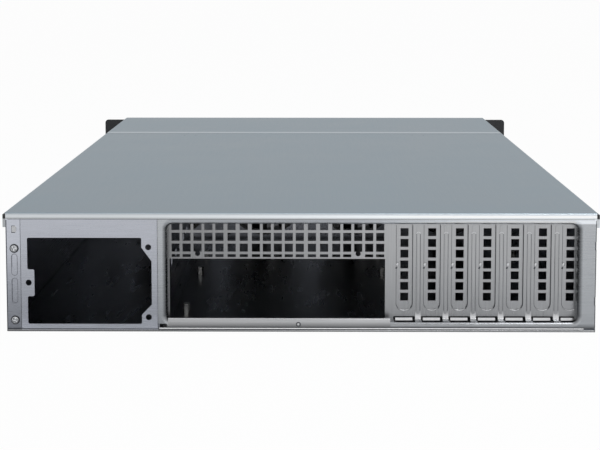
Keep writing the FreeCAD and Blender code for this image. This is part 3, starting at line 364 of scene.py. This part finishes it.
# Plated and bare small steel: nickel on stand-offs and screws, bright steel for painted
# highlights on edges, crowns, tongues and screw heads, lighter tabs as a painted highlight, the
# painted shade in a cut gate, mid-grey painted shade lines round pressings, and dark painted
# shade lines along gaps, beads
# and screws. patch: size of its cloudiness in mm; slopes: painted shade, the brightness left on
# steep walls.
plateSettings = {
    "nickelPlate": {"light": "#d8d7d3", "dark": "#bdbcb8", "rough": (0.2, 0.3), "patch": 1.5,
                    "metallic": 0.75},
    "screwPlate": {"light": "#e6e8ea", "dark": "#c9cbcf", "rough": (0.16, 0.24), "patch": 1.5,
                   "metallic": 0.9, "slopes": 0.08},
    "burnishedEdge": {"light": "#e2e3e5", "dark": "#d6d7d9", "rough": (0.38, 0.46),
                      "patch": 2.0, "metallic": 1.0},
    "stampedTab": {"light": "#c4c5c7", "dark": "#b9babc", "rough": (0.3, 0.38), "patch": 2.0,
                   "metallic": 1.0},
    "cutEdgeShade": {"light": "#26272a", "dark": "#1e1f21", "rough": (0.5, 0.6), "patch": 1.5,
                     "metallic": 0.5},
    "pressedRim": {"light": "#8c8e95", "dark": "#7f8188", "rough": (0.35, 0.45), "patch": 1.5,
                   "metallic": 0.9},
    "shearedEdge": {"light": "#505257", "dark": "#43454a", "rough": (0.45, 0.55), "patch": 1.2,
                    "metallic": 0.8},
}
# how squarely a screw's face looks out of the case where its painted shade is full and where it
# ends
slopeSpan = (-0.78, -0.98)
# where the clouds are fully dark and fully light
cloudSpan = (0.3, 0.7)
for name, settings in plateSettings.items():
    material, tree = newMaterial(name)
    where = addNode(tree, "ShaderNodeTexCoord")
    cloud = addNode(tree, "ShaderNodeTexNoise",
                    {"Vector": (where, "Object"), "Scale": 1 / (settings["patch"] * mm),
                     "Detail": 2.0})
    tint = addNode(tree, "ShaderNodeValToRGB", {"Fac": (cloud, "Fac")})
    setRamp(tint.color_ramp, [(cloudSpan[0], toLinear(settings["dark"])),
                              (cloudSpan[1], toLinear(settings["light"]))])
    colour = (tint, "Color")
    if "slopes" in settings:
        # painted shade on the walls of the cross recess and round the head's rim
        facing = addNode(tree, "ShaderNodeNewGeometry")
        turned = addNode(tree, "ShaderNodeSeparateXYZ", {"Vector": (facing, "Normal")})
        flat = addNode(tree, "ShaderNodeMapRange",
                       {"Value": (turned, "Y"), "From Min": slopeSpan[0],
                        "From Max": slopeSpan[1], "To Min": settings["slopes"], "To Max": 1.0})
        colour = shadeColour(tree, colour, [flat])
    rough = addNode(tree, "ShaderNodeMapRange",
                    {"Value": (cloud, "Fac"), "To Min": settings["rough"][0],
                     "To Max": settings["rough"][1]})
    shader = addNode(tree, "ShaderNodeBsdfPrincipled",
                     {"Base Color": colour, "Roughness": (rough, 0),
                      "Metallic": settings["metallic"]})
    finishMaterial(tree, shader)
    materials[name] = material

# Black finishes: powder coat on the ears, moulded ABS on handles and buttons, also used as
# painted shade in the lid's corner gaps, glass-filled PBT on the fans. Each has its own grain,
# in mm, and sheen.
blackSettings = {
    "powderCoatBlack": {"light": "#2b2c2e", "dark": "#222325", "rough": 0.55, "grain": 0.7,
                        "bump": 0.12},
    "mouldedAbsBlack": {"light": "#242526", "dark": "#1d1e1f", "rough": 0.42, "grain": 0.5,
                        "bump": 0.08},
    "fanPbtBlack": {"light": "#1c1d1e", "dark": "#161718", "rough": 0.5, "grain": 0.6,
                    "bump": 0.08},
}
blackGrainDepth = 0.05 * mm
for name, settings in blackSettings.items():
    material, tree = newMaterial(name)
    where = addNode(tree, "ShaderNodeTexCoord")
    grain = addNode(tree, "ShaderNodeTexNoise",
                    {"Vector": (where, "Object"), "Scale": 1 / (settings["grain"] * mm),
                     "Detail": 2.0})
    tint = addNode(tree, "ShaderNodeValToRGB", {"Fac": (grain, "Fac")})
    setRamp(tint.color_ramp, [(cloudSpan[0], toLinear(settings["dark"])),
                              (cloudSpan[1], toLinear(settings["light"]))])
    bump = addNode(tree, "ShaderNodeBump",
                   {"Height": (grain, "Fac"), "Strength": settings["bump"],
                    "Distance": blackGrainDepth})
    shader = addNode(tree, "ShaderNodeBsdfPrincipled",
                     {"Base Color": (tint, "Color"), "Roughness": settings["rough"],
                      "Normal": (bump, "Normal")})
    finishMaterial(tree, shader)
    materials[name] = material
print("materials ready:", len(materials))

# Finish of each CAD node, by the start of its name; the first that fits is taken.
nodeFinish = [
    ("rear_cover", "coverSteel"), ("front_cover_screws", "nickelPlate"),
    ("front_cover", "coverSteel"), ("slot_cover_screws", "nickelPlate"),
    ("slot_cover", "slotCoverSteel"), ("recessed_panel", "slotSteel"),
    ("rear_frame", "frameSteel"), ("psu_panel", "panelSteel"), ("rear_screws", "nickelPlate"),
    ("ear_screws", "nickelPlate"), ("ear_bracket", "powderCoatBlack"),
    ("handle", "mouldedAbsBlack"), ("fan_wall", "baseSteel"), ("fan_", "fanPbtBlack"),
    ("power_button", "mouldedAbsBlack"), ("reset_button", "mouldedAbsBlack"),
    ("board_standoffs", "nickelPlate"), ("", "baseSteel"),
]
for name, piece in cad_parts.items():
    finish = next(finish for start, finish in nodeFinish if name.startswith(start))
    if not piece.material_slots:
        piece.data.materials.append(materials[finish])
    for slot in piece.material_slots:
        slot.material = materials[finish]
print("finishes set on", len(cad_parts), "nodes")

# Places that the small pieces are set out from, in metres.
recess = 10 * mm
slotCount = 7
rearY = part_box("psu_panel")[0][1]
panelY = rearY + recess
stripX = sum(corner[0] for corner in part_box("rear_screws")) / 2
slotPlaces = []
for number in range(1, slotCount + 1):
    low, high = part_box("slot_cover_%d" % number)
    slotPlaces.append(((low[0] + high[0]) / 2, panelY, 0.0))
beadPlaces = [((a[0] + b[0]) / 2, panelY, 0.0) for a, b in zip(slotPlaces, slotPlaces[1:])]
framePlace = [(0.0, rearY, 0.0)]
stripPlace = [(stripX, rearY, 0.0)]


def meshObject(name, mesh):
    piece = bpy.data.objects.new(name, mesh)
    bpy.context.scene.collection.objects.link(piece)
    return piece


def unitMesh(shape):
    mesh = bpy.data.meshes.new("unit")
    shape.to_mesh(mesh)
    shape.free()
    return mesh


def ridgeMesh(runs, closed=False):
    # runs: (points (x, z) in mm, half width, rise); a rounded strip that stands on the
    # plane y = 0 towards -Y and is sunk a little behind it
    sink, roundSteps = 0.05, 5
    shape = bmesh.new()
    for points, half, rise in runs:
        rings = []
        count = len(points)
        for index, (x, z) in enumerate(points):
            before = points[index - 1] if index or closed else points[0]
            after = points[(index + 1) % count] if index < count - 1 or closed else points[-1]
            along = Vector((after[0] - before[0], after[1] - before[1])).normalized()
            across = Vector((along[1], -along[0]))
            section = []
            for step in range(roundSteps + 1):
                angle = math.pi * step / roundSteps
                section.append((-half * math.cos(angle), -rise * math.sin(angle)))
            section += [(half, sink), (-half, sink)]
            rings.append([shape.verts.new(((x + across[0] * side) * mm, y * mm,
                                           (z + across[1] * side) * mm))
                          for side, y in section])
        pairs = list(zip(rings, rings[1:])) + ([(rings[-1], rings[0])] if closed else [])
        for first, second in pairs:
            for corner in range(len(first)):
                after = (corner + 1) % len(first)
                shape.faces.new((first[corner], first[after], second[after], second[corner]))
        if not closed:
            shape.faces.new(rings[0][::-1])
            shape.faces.new(rings[-1])
    bmesh.ops.recalc_face_normals(shape, faces=shape.faces)
    for face in shape.faces:
        face.smooth = len(face.verts) == 4
        if not face.smooth:
            for edge in face.edges:
                edge.smooth = False
    return unitMesh(shape)


def prismMesh(profile, left, right, smooth=0):
    # profile: corners (y, z) in mm in order round the section, drawn out from left to right;
    # the first corners up to number smooth lie on one rounded face
    shape = bmesh.new()
    ends = [[shape.verts.new((x * mm, y * mm, z * mm)) for y, z in profile]
            for x in (left, right)]
    count = len(profile)
    for corner in range(count):
        after = (corner + 1) % count
        side = shape.faces.new((ends[0][corner], ends[0][after], ends[1][after],
                                ends[1][corner]))
        side.smooth = corner < smooth - 1
    shape.faces.new(ends[0][::-1])
    shape.faces.new(ends[1])
    bmesh.ops.recalc_face_normals(shape, faces=shape.faces)
    for edge in shape.edges:
        edge.smooth = all(face.smooth for face in edge.link_faces)
    return unitMesh(shape)


def blockMesh(boxes, bevel):
    # boxes: lowest and highest corners in mm, edges rounded by bevel mm
    shape = bmesh.new()
    for low, high in boxes:
        made = bmesh.ops.create_cube(shape, size=1.0)["verts"]
        for vert in made:
            vert.co = Vector([(low[i] + high[i]) / 2 + vert.co[i] * (high[i] - low[i])
                              for i in range(3)]) * mm
    bmesh.ops.bevel(shape, geom=shape.edges[:], offset=bevel * mm, segments=2,
                    affect="EDGES", profile=0.5)
    bmesh.ops.recalc_face_normals(shape, faces=shape.faces)
    return unitMesh(shape)


def arc(x, z, radius, start, end, steps):
    # points from angle start to angle end, in degrees
    return [(x + radius * math.cos(math.radians(start + (end - start) * step / steps)),
             z + radius * math.sin(math.radians(start + (end - start) * step / steps)))
            for step in range(steps + 1)]


# One tree sets a unit piece on every point of a carrier mesh.
repeatTree = bpy.data.node_groups.new("setOutOnPoints", "GeometryNodeTree")
sockets = repeatTree.interface
sockets.new_socket(name="Places", in_out="INPUT", socket_type="NodeSocketGeometry")
inputIds = {}
for label, kind in (("Unit", "NodeSocketObject"), ("Finish", "NodeSocketMaterial"),
                    ("Turn", "NodeSocketFloat"), ("Seed", "NodeSocketInt")):
    made = sockets.new_socket(name=label, in_out="INPUT", socket_type=kind)
    inputIds[label] = made.identifier
sockets.new_socket(name="Pieces", in_out="OUTPUT", socket_type="NodeSocketGeometry")
given = addNode(repeatTree, "NodeGroupInput")
points = addNode(repeatTree, "GeometryNodeMeshToPoints", {"Mesh": (given, "Places")})
unit = addNode(repeatTree, "GeometryNodeObjectInfo", {"Object": (given, "Unit")})
least = addNode(repeatTree, "ShaderNodeMath", {0: (given, "Turn"), 1: -1.0},
                operation="MULTIPLY")
turn = addNode(repeatTree, "FunctionNodeRandomValue",
               {2: (least, 0), 3: (given, "Turn"), "Seed": (given, "Seed")},
               data_type="FLOAT")
turned = addNode(repeatTree, "ShaderNodeCombineXYZ", {"Y": (turn, 1)})
placed = addNode(repeatTree, "GeometryNodeInstanceOnPoints",
                 {"Points": (points, 0), "Instance": (unit, "Geometry"),
                  "Rotation": (turned, 0)})
real = addNode(repeatTree, "GeometryNodeRealizeInstances", {0: (placed, 0)})
finished = addNode(repeatTree, "GeometryNodeSetMaterial",
                   {"Geometry": (real, 0), "Material": (given, "Finish")})
addNode(repeatTree, "NodeGroupOutput", {"Pieces": (finished, 0)})


def ridePiece(name, mesh, finish, body="chassis"):
    mesh.name = name
    mesh.materials.append(materials[finish])
    mesh.polygons.foreach_set("material_index", [0] * len(mesh.polygons))
    piece = meshObject(name, mesh)
    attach(piece, body)
    return piece


def setOut(name, unitShape, places, finish, body="chassis", turn=0.0, seed=1):
    unitPiece = meshObject(name + "Unit", unitShape)
    carrierMesh = bpy.data.meshes.new(name + "Places")
    carrierMesh.from_pydata([tuple(place) for place in places], [], [])
    carrier = meshObject(name + "Carrier", carrierMesh)
    modifier = carrier.modifiers.new("setOut", "NODES")
    modifier.node_group = repeatTree
    for label, value in (("Unit", unitPiece), ("Finish", materials[finish]),
                         ("Turn", turn), ("Seed", seed)):
        modifier[inputIds[label]] = value
    carrier.update_tag()
    bpy.context.view_layer.update()
    graph = bpy.context.evaluated_depsgraph_get()
    mesh = bpy.data.meshes.new_from_object(carrier.evaluated_get(graph), depsgraph=graph)
    carrier.modifiers.remove(modifier)
    bpy.data.objects.remove(carrier)
    bpy.data.objects.remove(unitPiece)
    mesh.materials.clear()
    return ridePiece(name, mesh, finish, body)


# The dictionaries below are in mm and degrees: half and the lines are half widths, rise
# stands out from the sheet, and heights are from the case's foot.

# Slot openings: painted shade lines down their sides, the right one wider, and a painted
# highlight round the drawn foot.
slotEdges = {"half": 6.05, "foot": 5.2, "low": 13.7, "high": 77.2, "rise": 0.22,
             "leftLine": 0.14, "rightLine": 0.22, "footLine": 0.32,
             "leftTurn": (222, 180), "rightTurn": (-42, 0), "footTurn": (236, 304)}


def footCurve(turn, steps):
    # the slot's foot is a flattened half round
    half, foot = slotEdges["half"], slotEdges["foot"]
    return [(x, slotEdges["low"] + foot + z * foot / half)
            for x, z in arc(0, 0, half, turn[0], turn[1], steps)]


half, high, rise = slotEdges["half"], slotEdges["high"], slotEdges["rise"]
setOut("slot_side_edges", ridgeMesh([
    (footCurve(slotEdges["leftTurn"], 6) + [(-half, high)], slotEdges["leftLine"], rise),
    (footCurve(slotEdges["rightTurn"], 6) + [(half, high)], slotEdges["rightLine"], rise)]),
       slotPlaces, "shearedEdge")
setOut("slot_foot_edges",
       ridgeMesh([(footCurve(slotEdges["footTurn"], 12), slotEdges["footLine"], rise)]),
       slotPlaces, "burnishedEdge")
print("slot edges set out")

# Pressed stiffening beads between the slots, over the panel's own, with painted shade lines as
# rims at their sides and foot and a painted highlight on the crown.
beads = {"half": 1.05, "rise": 0.62, "low": 13.4, "high": 70.8, "rimHalf": 1.34,
         "rimRise": 0.4, "leftLine": 0.18, "rightLine": 0.36, "footTurn": (200, 340),
         "crownLine": 0.34, "crownRise": 0.6, "crownTurn": (10, 170)}
low, high = beads["low"], beads["high"]
rimHalf, rimRise = beads["rimHalf"], beads["rimRise"]
setOut("panel_beads", ridgeMesh([([(0, low), (0, high)], beads["half"], beads["rise"])]),
       beadPlaces, "beadSteel")
setOut("bead_rims", ridgeMesh([
    ([(-rimHalf, low), (-rimHalf, high)], beads["leftLine"], rimRise),
    (arc(0, low, rimHalf, *beads["footTurn"], 8), beads["leftLine"], rimRise),
    ([(rimHalf, low), (rimHalf, high)], beads["rightLine"], rimRise)]),
       beadPlaces, "shearedEdge")
setOut("bead_crowns", ridgeMesh([
    (arc(0, high, rimHalf, *beads["crownTurn"], 8), beads["crownLine"], beads["crownRise"])]),
       beadPlaces, "burnishedEdge")

# The small tongues at the slots' left edges, each with a painted highlight over a dark painted
# shade.
nicks = {"tongue": [(-5.5, 47.3), (-4.7, 49.0)], "tongueHalf": 0.85, "tongueRise": 0.5,
         "hole": [(-6.3, 44.8), (-5.6, 46.1)], "holeHalf": 0.6, "holeRise": 0.12}
setOut("slot_nick_tongues",
       ridgeMesh([(nicks["tongue"], nicks["tongueHalf"], nicks["tongueRise"])]),
       slotPlaces, "burnishedEdge")
setOut("slot_nick_holes",
       ridgeMesh([(nicks["hole"], nicks["holeHalf"], nicks["holeRise"])]),
       slotPlaces, "shearedEdge")

# In each gate shows the end of the slot cover's foot, lighter as a painted highlight, within a
# dark rim of painted shade.
gates = {"left": -6.5, "right": 6.1,
         "section": ((-0.4, 6.2), (0.25, 8.1), (0.6, 8.1), (0.6, 6.2)),
         "rimHalf": 7.7, "rimLow": 5.5, "rimHigh": 8.9, "rimRise": 0.12,
         "rimLine": 0.35, "rimFootLine": 0.55}
setOut("gate_foot_ends", prismMesh(gates["section"], gates["left"], gates["right"]),
       slotPlaces, "stampedTab")
half, low, high = gates["rimHalf"], gates["rimLow"], gates["rimHigh"]
line, rise = gates["rimLine"], gates["rimRise"]
setOut("gate_rims", ridgeMesh([
    ([(-half, high), (half, high)], line, rise),
    ([(-half, low), (half, low)], gates["rimFootLine"], rise),
    ([(-half, low), (-half, high)], line, rise),
    ([(half, low), (half, high)], line, rise)]), slotPlaces, "cutEdgeShade")

# Between the gates the panel's foot flares out.
flares = {"half": 2.1, "roundCorners": 5,
          "section": ((0.0, 12.4), (-0.08, 11.2), (-0.28, 9.9), (-0.7, 8.7), (-1.6, 7.4),
                      (0.1, 7.4), (0.1, 12.4))}
setOut("panel_foot_flares",
       prismMesh(flares["section"], -flares["half"], flares["half"],
                 smooth=flares["roundCorners"]),
       beadPlaces, "flaredSteel")

# Under the interface opening a folded lip stands on the frame's drawn edge, with one small screw
# in it, a dark ring of painted shade round it and a painted highlight on its head.
lip = {"left": -97.2, "right": 65.5, "roundCorners": 9,
       "section": ((3.0, 9.75), (2.5, 9.8), (1.9, 9.35), (1.35, 8.7), (0.85, 7.8), (0.45, 6.8),
                   (0.15, 5.7), (-0.05, 4.6), (-0.12, 3.6), (0.4, 3.4), (3.0, 6.8)),
       "ringPlace": (-1.7, 5.5), "ring": 1.5, "ringLine": 0.3, "ringRise": 0.35,
       "screw": [(-2.2, 5.2), (-1.2, 5.8)], "screwHalf": 0.75, "screwRise": 0.5}
setOut("interface_lip",
       prismMesh(lip["section"], lip["left"], lip["right"], smooth=lip["roundCorners"]),
       framePlace, "sillSteel")
setOut("lip_screw_ring",
       ridgeMesh([(arc(*lip["ringPlace"], lip["ring"], 0, 340, 17), lip["ringLine"],
                   lip["ringRise"])], closed=True), framePlace, "shearedEdge")
setOut("lip_screw_head", ridgeMesh([(lip["screw"], lip["screwHalf"], lip["screwRise"])]),
       framePlace, "burnishedEdge")
print("beads, tongues and gates set out")

# Screws of the rear edge: domed heads with a cross recess, turned as they were driven.
# rim and the recess's sizes are shares of the head's height and radius, and a higher crown
# makes the dome flatter; shank and turn are in mm and radians.
screwHead = {"rim": 0.35, "crown": 2.4, "recessReach": 0.66, "recessWidth": 0.2,
             "recessDepth": 0.6, "recessTaper": 1.2, "shank": 1.5, "shankLength": 6.0,
             "turn": 0.7, "seed": 4, "turns": 64, "rows": 16}
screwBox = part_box("rear_screws")
headRadius = (screwBox[1][0] - screwBox[0][0]) / 2
headHeight = rearY - screwBox[0][1]


def screwHeadMesh():
    # rings from the middle of the dome to its rim, then under the head and down the shank
    shape = bmesh.new()
    turns, rows, rim = screwHead["turns"], screwHead["rows"], screwHead["rim"]
    angles = [2 * math.pi * step / turns for step in range(turns)]
    middle = 0.001  # the first ring is a hair wide, so that it can be closed by one face
    rings = []
    for row in range(rows + 1):
        reach = max(row / rows, middle)
        dome = rim + (1 - rim) * math.sqrt(max(0.0, 1 - reach ** screwHead["crown"]))
        ring = []
        for angle in angles:
            across = min(abs(math.cos(angle)), abs(math.sin(angle))) * reach
            along = max(abs(math.cos(angle)), abs(math.sin(angle))) * reach
            depth = 0.0
            if across < screwHead["recessWidth"] and along < screwHead["recessReach"]:
                depth = screwHead["recessDepth"] * (screwHead["recessTaper"] - along)
            ring.append(shape.verts.new((math.cos(angle) * reach * headRadius,
                                         -headHeight * (dome - depth),
                                         math.sin(angle) * reach * headRadius)))
        rings.append(ring)
    shank, shankEnd = screwHead["shank"] * mm, screwHead["shankLength"] * mm
    for radius, depth in ((headRadius, 0.0), (shank, 0.0), (shank, shankEnd)):
        rings.append([shape.verts.new((math.cos(angle) * radius, depth,
                                       math.sin(angle) * radius)) for angle in angles])
    for first, second in zip(rings, rings[1:]):
        for step in range(turns):
            after = (step + 1) % turns
            shape.faces.new((first[step], first[after], second[after], second[step]))
    shape.faces.new(rings[0])
    shape.faces.new(rings[-1])
    bmesh.ops.recalc_face_normals(shape, faces=shape.faces)
    return unitMesh(shape)


screwPlaces = [(stripX, rearY, screwBox[1][2] - headRadius),
               (stripX, rearY, screwBox[0][2] + headRadius)]
screws = setOut("rear_screw_heads", screwHeadMesh(), screwPlaces, "screwPlate",
                turn=screwHead["turn"], seed=screwHead["seed"])
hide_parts("rear_screws")
print("rear screws driven")

# The left strip: painted shade lines as rims of its pressed slots, a dark ring of painted shade
# round each screw's seat, and the tongue behind its hook hole, lighter as a painted highlight.
strip = {"half": 2.1, "slots": ((41.5, 57.4), (21.0, 39.6)), "line": 0.24, "rise": 0.14,
         "seatGap": 0.15, "seatLine": 0.32, "seatRise": 0.12,
         "tongueBox": ((-1.7, 0.1, 73.3), (1.7, 0.75, 78.0)), "tongueBevel": 0.24}
runs = []
for low, high in strip["slots"]:
    half = strip["half"]
    rim = arc(0, high - half, half, 0, 180, 10) + arc(0, low + half, half, 180, 360, 10)
    runs.append((rim, strip["line"], strip["rise"]))
setOut("strip_slot_rims", ridgeMesh(runs, closed=True), stripPlace, "pressedRim")
seatRadius = headRadius / mm + strip["seatGap"]
setOut("screw_seat_rings",
       ridgeMesh([(arc(0, 0, seatRadius, 0, 345, 23), strip["seatLine"], strip["seatRise"])],
                 closed=True), screwPlaces, "shearedEdge")
setOut("hook_tongue", blockMesh([strip["tongueBox"]], strip["tongueBevel"]), stripPlace,
       "stampedTab")

# Where sheets end: dark painted shade lines along the foot, up the sides and at the joint below
# the lid, the tray's folded foot, and a painted highlight on the frame's lower edge.
joints = {"side": 214.55, "sideLow": 1.0, "sideHigh": 82.5, "footHeight": 1.9,
          "lidHeight": 83.1, "lidInset": 1, "line": 0.32, "rise": 0.12,
          "rightShare": 0.7, "lidShare": 0.4, "lidRise": 0.1,
          "trayHeight": 0.72, "trayLine": 0.62, "trayRise": 0.2,
          "frameLeft": -103.6, "frameRight": 206.5,
          "frameSection": ((-0.42, 2.2), (-0.2, 2.8), (0.05, 2.9), (0.05, 2.2))}
side, line, rise = joints["side"], joints["line"], joints["rise"]
low, high, foot = joints["sideLow"], joints["sideHigh"], joints["footHeight"]
lidSide, lidHeight = side - joints["lidInset"], joints["lidHeight"]
setOut("sheared_sheet_edges", ridgeMesh([
    ([(-side, foot), (side, foot)], line, rise),
    ([(-side, low), (-side, high)], line, rise),
    ([(side, low), (side, high)], line * joints["rightShare"], rise),
    ([(-lidSide, lidHeight), (lidSide, lidHeight)], line * joints["lidShare"],
     joints["lidRise"])]), framePlace, "shearedEdge")
tray = joints["trayHeight"]
setOut("tray_foot_edge",
       ridgeMesh([([(-side, tray), (side, tray)], joints["trayLine"], joints["trayRise"])]),
       framePlace, "slotSteel")
setOut("frame_foot_edge",
       prismMesh(joints["frameSection"], joints["frameLeft"], joints["frameRight"]),
       framePlace, "burnishedEdge")
print("sheet edges drawn")

# Black blocks fill the gaps between the lid's lip and its side walls: painted shade where the
# gaps show dark.
corners = {"middle": 216.05, "half": 0.85, "front": 0.3, "depth": 4.5, "low": 83.6,
           "high": 86.9, "bevel": 0.3}
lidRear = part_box("rear_cover")[0][1]
boxes = []
for middle in (-corners["middle"], corners["middle"]):
    boxes.append(((middle - corners["half"], corners["front"], corners["low"]),
                  (middle + corners["half"], corners["depth"], corners["high"])))
setOut("lid_corner_pieces", blockMesh(boxes, corners["bevel"]), [(0.0, lidRear, 0.0)],
       "mouldedAbsBlack", body="lid")
print("lid corners closed")
